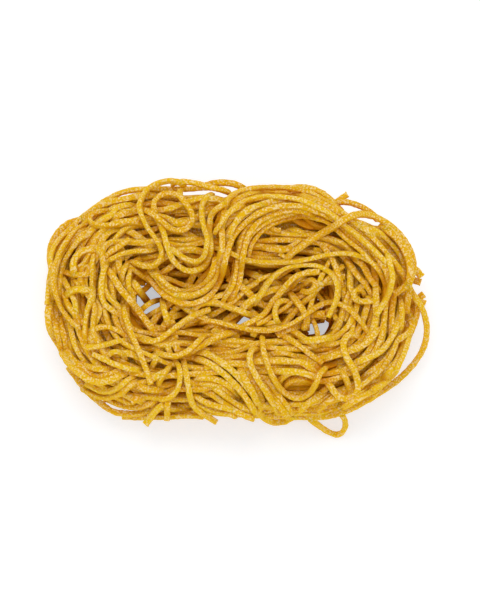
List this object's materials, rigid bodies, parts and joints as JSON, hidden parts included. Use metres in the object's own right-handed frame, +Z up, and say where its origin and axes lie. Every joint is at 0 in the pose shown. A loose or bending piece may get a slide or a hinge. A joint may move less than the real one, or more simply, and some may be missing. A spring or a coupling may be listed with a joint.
{
  "type": "dry pasta nest",
  "caption": "Oval nest of thin square-cut dry egg noodles, wound round a shallow hollow, with loose loops and cut ends at its rim",
  "frame": {"origin": "middle of the footprint, on the surface that the nest rests on", "axes": "+X along the nest's length, +Y across it towards the side with the round loops, +Z up out of the hollow"},
  "size_m": [0.113, 0.073, 0.0324],
  "materials": {
    "dry_egg_pasta": "dry egg pasta, golden yellow, rough and floury from the die, slightly translucent"
  },
  "bodies": {
    "root": {"pasta_nest": "dry_egg_pasta"}
  },
  "joints": []
}
